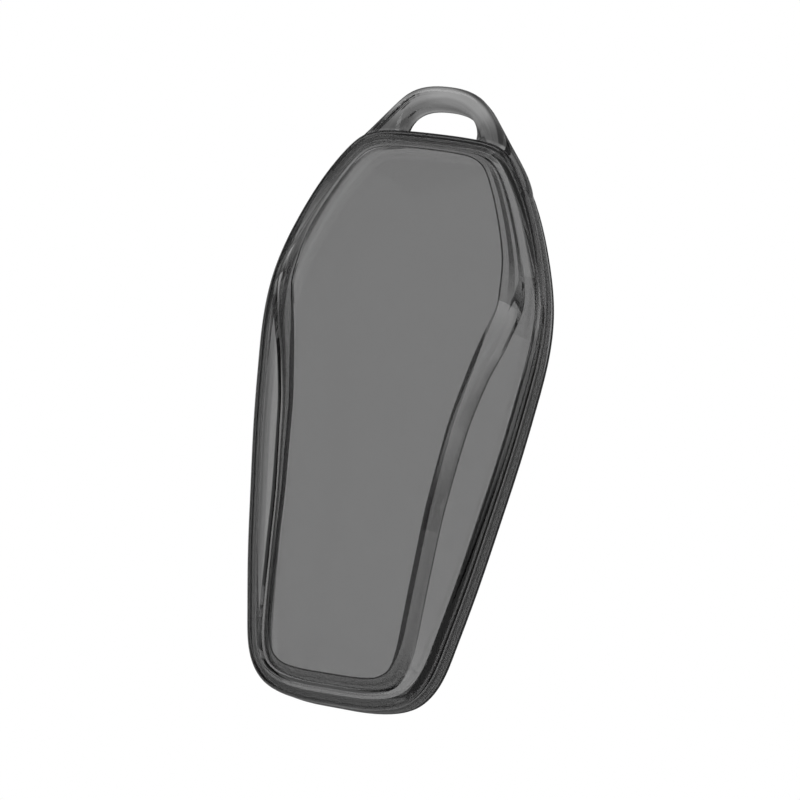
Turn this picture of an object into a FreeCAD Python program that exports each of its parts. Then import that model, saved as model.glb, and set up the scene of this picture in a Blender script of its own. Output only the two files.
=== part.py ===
import FreeCAD, Part
import bisect
import itertools
import math
import os
from collections import namedtuple

V = FreeCAD.Vector

# Key fob cover in clear soft plastic: a front shell that drops onto a rear shell with a key ring loop.
# It lies on its back: +Z out of the face, +Y towards the loop, all sizes in millimetres.

BODY_W = 42.2           # widest place of the side wall

# One row is one section of the right-hand half, taken square to the outline:
#   step    distance up from the row before
#   inside  how far the side wall lies inside its widest place, as a share of BODY_W
#   flank   plan width of the sloping flank, from the rim to the foot of the bevel
#   bevel   plan width of the bevel, from its foot to the edge of the panel
#   drop    height from the panel's edge down to the foot of the bevel
Section = namedtuple("Section", "step inside flank bevel drop")

BOTTOM_CENTRE = Section(step=0.0, inside=0.5, flank=0.5, bevel=2.2, drop=1.5)
BOTTOM_EDGE = Section(step=0.55, inside=0.314, flank=0.5, bevel=2.2, drop=1.5)
BOTTOM_CORNER = Section(step=1.5, inside=0.2358, flank=0.6, bevel=2.4, drop=1.5)
CORNER_END = Section(step=2.85, inside=0.1837, flank=1.0, bevel=2.4, drop=1.5)
LOW_SIDE = Section(step=5.6, inside=0.1457, flank=1.6, bevel=2.4, drop=1.5)
LOWER_SIDE = Section(step=9.0, inside=0.1055, flank=2.8, bevel=2.4, drop=1.5)
MID_SIDE = Section(step=10.0, inside=0.0687, flank=3.7, bevel=2.5, drop=1.5)
WAIST = Section(step=10.0, inside=0.0344, flank=4.0, bevel=2.7, drop=1.5)
ABOVE_WAIST = Section(step=8.0, inside=0.013, flank=3.3, bevel=3.0, drop=1.5)
WIDEST = Section(step=7.1, inside=0.0, flank=1.8, bevel=3.6, drop=1.8)
SHOULDER = Section(step=7.2, inside=0.0107, flank=0.5, bevel=3.3, drop=2.5)
UPPER_SIDE = Section(step=7.0, inside=0.0545, flank=0.8, bevel=2.2, drop=3.0)
NECK = Section(step=6.3, inside=0.1126, flank=0.9, bevel=1.9, drop=3.0)
TOP_TURN = Section(step=5.6, inside=0.186, flank=0.8, bevel=1.7, drop=2.7)
TOP_CORNER = Section(step=2.8, inside=0.2464, flank=0.9, bevel=1.5, drop=2.3)
TOP_EDGE = Section(step=1.2, inside=0.3626, flank=0.9, bevel=1.0, drop=2.0)
TOP_CENTRE = Section(step=0.15, inside=0.5, flank=0.9, bevel=0.9, drop=2.0)

HALF = (
    BOTTOM_CENTRE, BOTTOM_EDGE, BOTTOM_CORNER, CORNER_END, LOW_SIDE, LOWER_SIDE, MID_SIDE, WAIST, ABOVE_WAIST,
    WIDEST, SHOULDER, UPPER_SIDE, NECK, TOP_TURN, TOP_CORNER, TOP_EDGE, TOP_CENTRE,
)

# Heights, stacked from the back
TRAY_H = 7.5            # rear shell, back to parting line
SKIRT_FLAT = 0.05       # straight side of the front shell between its two rounds
FACE_BOTTOM_H = 2.6     # rim to the panel's crown over the bottom end
FACE_TOP_H = 2.3        # rim to the panel's crown over the top end
FACE_CROWN_R = 227.0    # lengthwise crown of the panel

# Walls
SIDE_WALL = 1.8
FACE_WALL = 1.2
BACK_WALL = 0.9

# Rounds
RIM_R = 1.3             # outer edge of the front shell's rim
RIM_LEDGE = 0.2         # flat left between the rim's round and the flank
CORNER_EASE = 5.0       # stretch of outline over which flank and bevel turn a corner
PANEL_EDGE_R = 0.5      # edge between panel and bevel
BACK_EDGE_R = 2.0       # outer edge of the back
BACK_INNER_R = 1.0      # inner corner between the back and the side wall
SEAM_R = 0.25           # both lips of the parting line

# Tongue of the front shell inside the rebate of the rear shell
TONGUE_H = 2.0
TONGUE_T = 0.8
FIT_GAP = 0.15          # side clearance of the tongue in its rebate
TONGUE_END_GAP = 0.25   # under the tongue, so that the shells seat on the parting line

# Key ring loop, one moulding with the rear shell
LOOP_REACH = 7.75       # beyond the body's top end
LOOP_BAR = 3.15         # bar at the crown of the loop
LOOP_BOTTOM = 1.8       # underside above the back
LOOP_STEP = 0.1         # top of the loop below the parting line
LOOP_EDGE_R = 1.4
EYE_W = 11.2            # eye of the loop where it meets the body
EYE_SIDE = 1.0          # straight height of the eye's sides
EYE_TURN_W = 7.6        # width of the eye part way up its arch
EYE_TURN_BELOW = 0.8    # that place, below the eye's crown

# Outside of the loop, from its foot in the body's side to its crown: distance below the crown, and width there.
# Its foot follows the body's width.
LoopPoint = namedtuple("LoopPoint", "below width")
LOOP_ROOT = LoopPoint(below=16.6, width=0.725 * BODY_W)
LOOP_LOW = LoopPoint(below=11.7, width=0.649 * BODY_W)
LOOP_MID = LoopPoint(below=7.8, width=21.7)
LOOP_HIGH = LoopPoint(below=4.0, width=15.9)
LOOP_TURN = LoopPoint(below=1.3, width=10.8)
LOOP_CROWN = LoopPoint(below=0.2, width=5.1)
LOOP_ARCH = (LOOP_ROOT, LOOP_LOW, LOOP_MID, LOOP_HIGH, LOOP_TURN, LOOP_CROWN)

STEPS = 2               # outline points between two sections
EASE_STEPS = 4          # directions averaged each way along that stretch
OVERRUN = 1.0           # how far a working solid runs past what it cuts or joins
ROUND_SHARE = 0.45      # most of a bar's thickness that one of its rounds takes
FLAT = 0.01             # height range of an edge that counts as level

BODY_L = sum(s.step for s in HALF)
OVERALL = BODY_L + LOOP_REACH
Y0 = -OVERALL / 2.0
END_Y = Y0 + BODY_L
RIM_Z = TRAY_H + SEAM_R + SKIRT_FLAT + RIM_R


def crown_centre():
    """Centre of the panel's lengthwise crown, which passes over both ends at their own heights."""
    low = V(0, Y0, RIM_Z + FACE_BOTTOM_H)
    high = V(0, END_Y, RIM_Z + FACE_TOP_H)
    chord = high - low
    depth = math.sqrt(FACE_CROWN_R ** 2 - (chord.Length / 2.0) ** 2)
    down = V(0, chord.z, -chord.y).normalize()
    return (low + high) * 0.5 + down * depth


CROWN_C = crown_centre()
PANEL_Z = CROWN_C.z + FACE_CROWN_R


def crown_z(y):
    """Height of the panel's crowned surface at y."""
    return CROWN_C.z + math.sqrt(FACE_CROWN_R ** 2 - (y - CROWN_C.y) ** 2)


def steady(knots, values, at):
    """Shape-keeping cubic through (knots, values), so that it never swings past its own values."""
    n = len(knots)
    step = [knots[i + 1] - knots[i] for i in range(n - 1)]
    rise = [(values[i + 1] - values[i]) / step[i] for i in range(n - 1)]
    slope = [0.0] * n
    for i in range(1, n - 1):
        if rise[i - 1] * rise[i] > 0.0:
            w0 = 2.0 * step[i] + step[i - 1]
            w1 = step[i] + 2.0 * step[i - 1]
            slope[i] = (w0 + w1) / (w0 / rise[i - 1] + w1 / rise[i])
    i = min(max(bisect.bisect_right(knots, at) - 1, 0), n - 2)
    t = (at - knots[i]) / step[i]
    a = values[i] * (1.0 + 2.0 * t) * (1.0 - t) ** 2
    b = values[i + 1] * t * t * (3.0 - 2.0 * t)
    c = slope[i] * step[i] * t * (1.0 - t) ** 2
    d = slope[i + 1] * step[i] * t * t * (t - 1.0)
    return a + b + c + d


def closed_curve(points, knots):
    """Closed smooth curve through the points at the given knots."""
    curve = Part.BSplineCurve()
    curve.interpolate(Points=points, PeriodicFlag=True, Parameters=knots)
    return curve


class Outline:
    """The body's plan outline, with the section values carried round it."""

    def __init__(self):
        up = itertools.accumulate(s.step for s in HALF)
        right = [V(BODY_W * (0.5 - s.inside), Y0 + at, 0.0) for s, at in zip(HALF, up)]
        left = [V(-p.x, p.y, 0.0) for p in reversed(right[1:-1])]
        loop = right + left
        rows = list(HALF) + list(reversed(HALF[1:-1]))
        knots = [0.0]
        for i, p in enumerate(loop):
            q = loop[(i + 1) % len(loop)]
            knots.append(knots[-1] + p.distanceToPoint(q))
        base = closed_curve(loop, knots)
        self.end = knots[-1]
        self.knots = []
        self.points = []
        self.inward = []
        self.eased = []
        for i in range(len(loop)):
            for k in range(STEPS):
                t = knots[i] + (knots[i + 1] - knots[i]) * k / STEPS
                self.knots.append(t)
                self.points.append(base.value(t))
                self.inward.append(self.square(base, t))
                blend = V(0, 0, 0)
                for j in range(-EASE_STEPS, EASE_STEPS + 1):
                    blend += self.square(base, t + CORNER_EASE * j / EASE_STEPS)
                self.eased.append(blend.normalize())
        closed = rows + [rows[0]]
        self.flank = [steady(knots, [r.flank for r in closed], t) for t in self.knots]
        self.bevel = [steady(knots, [r.bevel for r in closed], t) for t in self.knots]
        self.drop = [steady(knots, [r.drop for r in closed], t) for t in self.knots]

    def square(self, curve, t):
        """Unit vector inwards, square to the outline."""
        along = curve.tangent(t % self.end)[0]
        return V(-along.y, along.x, 0.0)

    def ring(self, points):
        """Closed wire through one point for each outline point."""
        edge = closed_curve(points, self.knots + [self.end]).toShape()
        return Part.Wire([edge])

    def offset(self, inset, z):
        """Flat ring a constant distance inside the outline."""
        return self.ring([p + n * inset + V(0, 0, z) for p, n in zip(self.points, self.inward)])

    def prism(self, inset, z0, z1):
        """Upright solid inside the outline, from z0 to z1."""
        return Part.Face(self.offset(inset, z0)).extrude(V(0, 0, z1 - z0))

    def dome(self, wall):
        """Flank and bevel up to the crowned panel, or with a wall's thickness the inner face behind them."""
        up = V(0, 0, 1)
        rim_in = RIM_R + RIM_LEDGE
        root_z = RIM_Z - wall - OVERRUN
        root, foot, edge, cap = [], [], [], []
        for p, n, flank, bevel, drop in zip(self.points, self.eased, self.flank, self.bevel, self.drop):
            at_edge = p + n * (rim_in + flank + bevel)
            at_edge.z = crown_z(at_edge.y)
            at_foot = p + n * (rim_in + flank) + up * (at_edge.z - drop)
            rise = (at_foot - p - n * rim_in - up * RIM_Z).normalize()
            climb = (at_edge - at_foot).normalize()
            behind_rise = n * rise.z - up * rise.dot(n)
            behind_climb = n * climb.z - up * climb.dot(n)
            mitre = (behind_rise + behind_climb) * (wall / (1.0 + behind_rise.dot(behind_climb)))
            past = at_edge + mitre + climb * OVERRUN
            at_foot += mitre
            root.append(at_foot - rise * ((at_foot.z - root_z) / rise.z))
            foot.append(at_foot)
            edge.append(past)
            cap.append(V(past.x, past.y, PANEL_Z + OVERRUN))
        rings = [self.ring(points) for points in (root, foot, edge, cap)]
        faces = [Part.Face(rings[0]), Part.Face(rings[-1])]
        for low, high in zip(rings, rings[1:]):
            faces.append(Part.makeRuledSurface(low.Edges[0], high.Edges[0]))
        shell = Part.Shell(faces)
        shell.sewShape()
        solid = Part.Solid(shell)
        if solid.Volume < 0.0:
            solid.reverse()
        axis_start = CROWN_C - V(OVERALL, 0, 0)
        barrel = Part.makeCylinder(FACE_CROWN_R - wall, 2.0 * OVERALL, axis_start, V(1, 0, 0))
        return solid.common(barrel)


def edges_at(shape, z):
    """Edges that lie level at height z."""
    return [e for e in shape.Edges if abs(e.BoundBox.ZMin - z) < FLAT and abs(e.BoundBox.ZMax - z) < FLAT]


def longest(edges):
    """The longest of some edges."""
    return max(edges, key=lambda e: e.Length)


def crown_edges(shape):
    """Edges of the crowned panel."""
    panel = [f for f in shape.Faces if isinstance(f.Surface, Part.Cylinder)]
    return [e for f in panel for e in f.Edges]


def front_shell(outline):
    """Face, flanks, rim and the tongue that drops into the rear shell."""
    skirt = outline.prism(0.0, TRAY_H, RIM_Z)
    skirt = skirt.makeFillet(RIM_R, edges_at(skirt, RIM_Z))
    skirt = skirt.makeFillet(SEAM_R, [longest(edges_at(skirt, TRAY_H))])
    dome = outline.dome(0.0)
    dome = dome.makeFillet(PANEL_EDGE_R, crown_edges(dome))
    body = skirt.fuse(dome)
    tongue_in = SIDE_WALL - TONGUE_T
    tongue = outline.prism(tongue_in, TRAY_H - TONGUE_H, (TRAY_H + RIM_Z) / 2.0)
    body = body.fuse(tongue)
    hollow = outline.prism(SIDE_WALL, TRAY_H - TONGUE_H - OVERRUN, RIM_Z - FACE_WALL)
    hollow = hollow.fuse(outline.dome(FACE_WALL))
    return body.cut(hollow).removeSplitter()


def loop_blank():
    """The loop's bar, rounded on its edges, with its foot left inside the body."""
    top_y = Y0 + OVERALL
    right = [V(at.width / 2.0, top_y - at.below, LOOP_BOTTOM) for at in LOOP_ARCH]
    left = [V(-p.x, p.y, p.z) for p in reversed(right)]
    arch = Part.BSplineCurve()
    arch.interpolate(right + [V(0, top_y, LOOP_BOTTOM)] + left)
    foot = Part.LineSegment(left[-1], right[0])
    plan = Part.Face(Part.Wire([arch.toShape(), foot.toShape()]))
    height = TRAY_H - LOOP_STEP - LOOP_BOTTOM
    bar = plan.extrude(V(0, 0, height))
    eye_y = top_y - LOOP_BAR
    sill = V(EYE_W / 2.0, END_Y - SIDE_WALL, LOOP_BOTTOM)
    spring = V(EYE_W / 2.0, END_Y + EYE_SIDE, LOOP_BOTTOM)
    turn = V(EYE_TURN_W / 2.0, eye_y - EYE_TURN_BELOW, LOOP_BOTTOM)
    crown = V(0, eye_y, LOOP_BOTTOM)
    across = V(-EYE_W, 0, 0)
    turn_across = V(-EYE_TURN_W, 0, 0)
    eye = Part.BSplineCurve()
    eye.interpolate([spring, turn, crown, turn + turn_across, spring + across])
    wire = Part.Wire([
        Part.LineSegment(sill, spring).toShape(),
        eye.toShape(),
        Part.LineSegment(spring + across, sill + across).toShape(),
        Part.LineSegment(sill + across, sill).toShape(),
    ])
    bar = bar.cut(Part.Face(wire).extrude(V(0, 0, height)))
    past_body = END_Y + EYE_SIDE / 2.0
    level = [e for e in bar.Edges if e.BoundBox.ZLength < FLAT and e.BoundBox.YMax > past_body]
    return bar.makeFillet(min(LOOP_EDGE_R, ROUND_SHARE * LOOP_BAR, ROUND_SHARE * height), level)


def rear_shell(outline):
    """Back, side wall with its rebate, and the loop."""
    tray = outline.prism(0.0, 0.0, TRAY_H)
    tray = tray.makeFillet(BACK_EDGE_R, edges_at(tray, 0.0))
    tray = tray.makeFillet(SEAM_R, [longest(edges_at(tray, TRAY_H))])
    body = tray.fuse(loop_blank())
    rebate_in = SIDE_WALL - TONGUE_T - FIT_GAP
    rebate_z = TRAY_H - TONGUE_H - TONGUE_END_GAP
    hollow = outline.prism(SIDE_WALL, BACK_WALL, TRAY_H + OVERRUN)
    body = body.cut(hollow.makeFillet(BACK_INNER_R, edges_at(hollow, BACK_WALL)))
    body = body.cut(outline.prism(rebate_in, rebate_z, TRAY_H + OVERRUN))
    return body.removeSplitter()


def main():
    os.makedirs("parts", exist_ok=True)
    outline = Outline()
    for name, shape in (("front_shell", front_shell(outline)), ("rear_shell", rear_shell(outline))):
        solids = shape.Solids
        box = shape.BoundBox
        print(name, "solids", len(solids), "valid", shape.isValid(), "volume %.1f" % shape.Volume,
              "x %.2f %.2f y %.2f %.2f z %.2f %.2f" % (box.XMin, box.XMax, box.YMin, box.YMax, box.ZMin, box.ZMax))
        solids[0].exportStep("parts/%s.step" % name)


main()
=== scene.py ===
"""Smoke-tinted key fob cover: two clear soft plastic shells, photographed on a white light table."""

import bisect
import logging
import math
from dataclasses import dataclass, fields
from enum import Enum
from itertools import accumulate
from typing import Sequence

import bmesh
import bpy
import numpy as np
from mathutils import Matrix, Vector
from mathutils.kdtree import KDTree

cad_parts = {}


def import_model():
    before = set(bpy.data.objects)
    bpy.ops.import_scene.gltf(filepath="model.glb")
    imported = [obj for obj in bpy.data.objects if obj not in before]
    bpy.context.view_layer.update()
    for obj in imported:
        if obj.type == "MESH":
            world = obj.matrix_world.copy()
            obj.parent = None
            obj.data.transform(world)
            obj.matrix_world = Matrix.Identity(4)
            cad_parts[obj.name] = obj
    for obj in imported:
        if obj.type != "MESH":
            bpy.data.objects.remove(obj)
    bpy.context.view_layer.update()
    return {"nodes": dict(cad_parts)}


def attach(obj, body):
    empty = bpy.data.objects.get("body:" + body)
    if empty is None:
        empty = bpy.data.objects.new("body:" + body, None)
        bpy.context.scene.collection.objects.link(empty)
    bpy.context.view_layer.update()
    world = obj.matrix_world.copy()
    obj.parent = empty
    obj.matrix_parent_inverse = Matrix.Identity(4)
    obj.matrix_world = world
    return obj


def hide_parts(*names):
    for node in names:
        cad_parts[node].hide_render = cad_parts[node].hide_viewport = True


log = logging.getLogger("cover")

MM = 0.001
UP = Vector((0.0, 0.0, 1.0))
FROM_SIDE = "from_side"
FAR = 99.0
ROUND_SHARE = 0.9


class Body(Enum):
    """Bodies of the cover that pieces ride on."""

    FRONT = "front"
    REAR = "rear"


class Slot(Enum):
    """Material slots of the record."""

    FRONT = "clear_front"
    REAR = "clear_rear"


class Mark(Enum):
    """Values that the face's skin carries for its finish: places on it and strengths of its painted shade.
    """

    FROM_EDGE = "from_edge"
    FROM_FOOT = "from_foot"
    ACROSS = "across"
    ALONG = "along"
    BEAD = "bead"
    CREASE = "crease"
    FOLD = "fold"
    RIM = "rim"
    FLANK = "flank"


PLACE_MARKS = (Mark.FROM_EDGE, Mark.FROM_FOOT, Mark.ACROSS)
SHADE_MARKS = (Mark.BEAD, Mark.CREASE, Mark.FOLD, Mark.RIM, Mark.FLANK)


@dataclass(frozen=True)
class Shade:
    """How much painted shade gathers at one section.

    line is the width of the painted dark line beside the panel, in millimetres. bead, crease, fold and
    rim are strengths, up to one, of the painted shade in the bead, in the crease at its foot, in the folds
    along it and in the rim's round. flank is how much painted light clears the flank.
    """

    line: float
    bead: float
    crease: float
    fold: float
    rim: float
    flank: float


# Painted shade of the face at each kind of section, and the painted light in its flank.
BOTTOM = Shade(line=0.25, bead=0.8, crease=0.0, fold=0.0, rim=0.4, flank=0.7)
CORNER = Shade(line=0.45, bead=0.76, crease=0.6, fold=0.0, rim=0.0, flank=0.4)
LOW = Shade(line=0.8, bead=0.64, crease=0.95, fold=0.0, rim=0.0, flank=0.1)
SIDE = Shade(line=0.87, bead=0.62, crease=0.95, fold=0.0, rim=0.0, flank=0.0)
TURN = Shade(line=0.55, bead=0.6, crease=0.9, fold=0.0, rim=0.0, flank=0.0)
BEND = Shade(line=0.25, bead=0.25, crease=0.5, fold=0.5, rim=0.0, flank=0.0)
UPPER = Shade(line=0.3, bead=0.2, crease=0.3, fold=1.0, rim=0.0, flank=0.0)
TOP = Shade(line=0.25, bead=0.4, crease=0.2, fold=0.6, rim=0.8, flank=0.0)


@dataclass(frozen=True)
class Section:
    """One section of the right-hand half, square to the outline, in millimetres.

    step is the distance up from the section before, inside is how far the side wall lies inside its widest
    place, flank and bevel are plan widths, drop is the height of the bevel, and rim is the radius of the
    rim's round.
    """

    step: float
    inside: float
    flank: float
    bevel: float
    drop: float
    rim: float
    shade: Shade


BODY_W = 42.2
HALF_W = BODY_W / 2.0

BOTTOM_CENTRE = Section(step=0.0, inside=HALF_W, flank=0.5, bevel=2.2, drop=1.5, rim=1.3, shade=BOTTOM)
BOTTOM_EDGE = Section(step=0.55, inside=13.25, flank=0.5, bevel=2.2, drop=1.5, rim=1.3, shade=BOTTOM)
BOTTOM_CORNER = Section(step=1.5, inside=9.95, flank=0.6, bevel=2.4, drop=1.5, rim=1.3, shade=BOTTOM)
CORNER_END = Section(step=2.85, inside=7.75, flank=1.0, bevel=2.4, drop=1.5, rim=1.3, shade=CORNER)
LOW_SIDE = Section(step=5.6, inside=6.15, flank=1.6, bevel=2.4, drop=1.5, rim=1.3, shade=LOW)
LOWER_SIDE = Section(step=9.0, inside=4.45, flank=2.8, bevel=2.4, drop=1.5, rim=1.3, shade=SIDE)
MID_SIDE = Section(step=10.0, inside=2.9, flank=3.7, bevel=2.5, drop=1.5, rim=1.3, shade=SIDE)
WAIST = Section(step=10.0, inside=1.45, flank=4.0, bevel=2.7, drop=1.5, rim=1.3, shade=SIDE)
ABOVE_WAIST = Section(step=8.0, inside=0.55, flank=3.3, bevel=3.0, drop=1.5, rim=1.3, shade=SIDE)
WIDEST = Section(step=7.1, inside=0.0, flank=1.8, bevel=3.6, drop=1.8, rim=1.2, shade=TURN)
SHOULDER = Section(step=7.2, inside=0.45, flank=0.5, bevel=3.3, drop=2.5, rim=0.9, shade=BEND)
UPPER_SIDE = Section(step=7.0, inside=2.3, flank=0.8, bevel=2.2, drop=3.0, rim=0.6, shade=UPPER)
NECK = Section(step=6.3, inside=4.75, flank=0.9, bevel=1.9, drop=3.0, rim=0.6, shade=UPPER)
TOP_TURN = Section(step=5.6, inside=7.85, flank=0.8, bevel=1.7, drop=2.7, rim=0.7, shade=UPPER)
TOP_CORNER = Section(step=2.8, inside=10.4, flank=0.9, bevel=1.5, drop=2.3, rim=0.8, shade=TOP)
TOP_EDGE = Section(step=1.2, inside=15.3, flank=0.9, bevel=1.0, drop=2.0, rim=0.8, shade=TOP)
TOP_CENTRE = Section(step=0.15, inside=HALF_W, flank=0.9, bevel=0.9, drop=2.0, rim=0.8, shade=TOP)

HALF = (
    BOTTOM_CENTRE, BOTTOM_EDGE, BOTTOM_CORNER, CORNER_END, LOW_SIDE, LOWER_SIDE, MID_SIDE, WAIST,
    ABOVE_WAIST, WIDEST, SHOULDER, UPPER_SIDE, NECK, TOP_TURN, TOP_CORNER, TOP_EDGE, TOP_CENTRE,
)


@dataclass(frozen=True)
class Station:
    """One place on the outline, with the section values there, in millimetres."""

    point: Vector
    inward: Vector
    eased: Vector
    along: float
    flank: float
    bevel: float
    drop: float
    rim: float
    shade: Shade


@dataclass(frozen=True)
class Corner:
    """One corner of a section's line, with the radius that rounds it, in millimetres."""

    point: Vector
    radius: float = 0.0


@dataclass(frozen=True)
class SkinPoint:
    """A point of a skin, with the values that it carries for the finish."""

    point: Vector
    marks: dict[Mark, float]


class ClosedCurve:
    """Smooth closed cubic through points at given knots."""

    def __init__(self, points: Sequence[Vector], knots: Sequence[float]) -> None:
        """Solves for the second derivatives.

        Args:
            points: the points in order, the first not repeated.
            knots: one value for each point, and the value at which the curve closes.
        """
        self.knots = np.array(knots)
        self.values = np.array([p[:2] for p in points] + [points[0][:2]])
        span = np.diff(self.knots)
        count = len(points)
        matrix = np.zeros((count, count))
        right = np.zeros((count, 2))
        for i in range(count):
            before, after = span[i - 1], span[i]
            matrix[i, i - 1] += before
            matrix[i, i] += 2.0 * (before + after)
            matrix[i, (i + 1) % count] += after
            rise = (self.values[i + 1] - self.values[i]) / after
            fall = (self.values[i] - self.values[i - 1 if i else count - 1]) / before
            right[i] = 6.0 * (rise - fall)
        bends = np.linalg.solve(matrix, right)
        self.bends = np.vstack([bends, bends[:1]])

    def _span(self, at: float) -> tuple[int, float, float]:
        """Finds the span that holds a knot value.

        Args:
            at: the knot value.

        Returns:
            The span's index, its length and the place in it, from nought to one.
        """
        at = at % self.knots[-1]
        i = min(int(np.searchsorted(self.knots, at, side="right")) - 1, len(self.knots) - 2)
        length = self.knots[i + 1] - self.knots[i]
        return i, length, (at - self.knots[i]) / length

    def point(self, at: float) -> Vector:
        """Finds a point of the curve.

        Args:
            at: the knot value.

        Returns:
            The point, at height nought.
        """
        i, length, t = self._span(at)
        a, b = 1.0 - t, t
        bend = (a ** 3 - a) * self.bends[i] + (b ** 3 - b) * self.bends[i + 1]
        place = a * self.values[i] + b * self.values[i + 1] + bend * length * length / 6.0
        return Vector((place[0], place[1], 0.0))

    def inward(self, at: float) -> Vector:
        """Finds the direction square to the curve.

        Args:
            at: the knot value.

        Returns:
            The unit vector to the curve's left.
        """
        i, length, t = self._span(at)
        a, b = 1.0 - t, t
        chord = (self.values[i + 1] - self.values[i]) / length
        bend = (3.0 * b * b - 1.0) * self.bends[i + 1] - (3.0 * a * a - 1.0) * self.bends[i]
        along = chord + bend * length / 6.0
        return Vector((-along[1], along[0], 0.0)).normalized()


def steady(knots: Sequence[float], values: Sequence[float], at: float) -> float:
    """Shape-keeping cubic through values, which never swings past them.

    Args:
        knots: rising places of the values.
        values: one value for each knot.
        at: the place to read.

    Returns:
        The value there.
    """
    last = len(knots) - 1
    step = [knots[i + 1] - knots[i] for i in range(last)]
    rise = [(values[i + 1] - values[i]) / step[i] for i in range(last)]
    slope = [0.0] * (last + 1)
    for i in range(1, last):
        if rise[i - 1] * rise[i] > 0.0:
            w0 = 2.0 * step[i] + step[i - 1]
            w1 = step[i] + 2.0 * step[i - 1]
            slope[i] = (w0 + w1) / (w0 / rise[i - 1] + w1 / rise[i])
    i = min(max(bisect.bisect_right(knots, at) - 1, 0), last - 1)
    t = (at - knots[i]) / step[i]
    start = values[i] * (1.0 + 2.0 * t) * (1.0 - t) ** 2
    end = values[i + 1] * t * t * (3.0 - 2.0 * t)
    leave = slope[i] * step[i] * t * (1.0 - t) ** 2
    meet = slope[i + 1] * step[i] * t * t * (t - 1.0)
    return start + end + leave + meet


def between(knots: Sequence[float], rows: Sequence[object], names: Sequence[str],
            at: float) -> dict[str, float]:
    """Named values of rows at a place between their knots."""
    return {name: steady(knots, [getattr(row, name) for row in rows], at) for name in names}


@dataclass
class Outline:
    """The body's plan outline, sampled evenly, in millimetres."""

    low_y: float
    count: int = 640
    corner_ease: float = 5.0
    ease_steps: int = 4

    def stations(self) -> list[Station]:
        """Places round the outline, anticlockwise from the bottom centre.

        Returns:
            One station for each sample.
        """
        up = accumulate(s.step for s in HALF)
        right = [Vector((HALF_W - s.inside, self.low_y + at, 0.0)) for s, at in zip(HALF, up)]
        left = [Vector((-p.x, p.y, 0.0)) for p in reversed(right[1:-1])]
        loop = right + left
        rows = list(HALF) + list(reversed(HALF[1:-1])) + [HALF[0]]
        gaps = [(q - p).length for p, q in zip(loop, loop[1:] + loop[:1])]
        knots = [0.0] + list(accumulate(gaps))
        curve = ClosedCurve(loop, knots)
        shades = [r.shade for r in rows]
        painted_shades = [f.name for f in fields(Shade)]
        found = []
        for k in range(self.count):
            at = knots[-1] * k / self.count
            eased = Vector()
            for j in range(-self.ease_steps, self.ease_steps + 1):
                eased += curve.inward(at + self.corner_ease * j / self.ease_steps)
            found.append(Station(
                point=curve.point(at),
                inward=curve.inward(at),
                eased=eased.normalized(),
                along=min(at, knots[-1] - at),
                shade=Shade(**between(knots, shades, painted_shades, at)),
                **between(knots, rows, ("flank", "bevel", "drop", "rim"), at),
            ))
        return found


def mitre(first: Vector, second: Vector) -> Vector:
    """Vector that is one long along each of two unit vectors."""
    return (first + second) / (1.0 + first.dot(second))


def rounded(corners: Sequence[Corner], steps: int) -> list[Vector]:
    """Line through corners, each rounded by an arc.

    Args:
        corners: the corners in order; the first and last are kept as they are.
        steps: parts in each arc.

    Returns:
        The points of the line, as many for any corners of the same count.
    """
    line = [corners[0].point]
    for before, here, after in zip(corners, corners[1:], corners[2:]):
        if here.radius <= 0.0:
            line.append(here.point)
            continue
        to_before = before.point - here.point
        to_after = after.point - here.point
        half = to_before.angle(to_after) / 2.0
        reach = min(here.radius / math.tan(half), ROUND_SHARE * min(to_before.length, to_after.length))
        radius = reach * math.tan(half)
        middle = (to_before.normalized() + to_after.normalized()).normalized()
        centre = here.point + middle * (reach / math.cos(half))
        start = here.point + to_before.normalized() * reach - centre
        end = here.point + to_after.normalized() * reach - centre
        sweep = math.pi - 2.0 * half
        for k in range(steps + 1):
            t = k / steps
            place = start * math.sin((1.0 - t) * sweep) + end * math.sin(t * sweep)
            line.append(centre + place.normalized() * radius)
    line.append(corners[-1].point)
    return line


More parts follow.
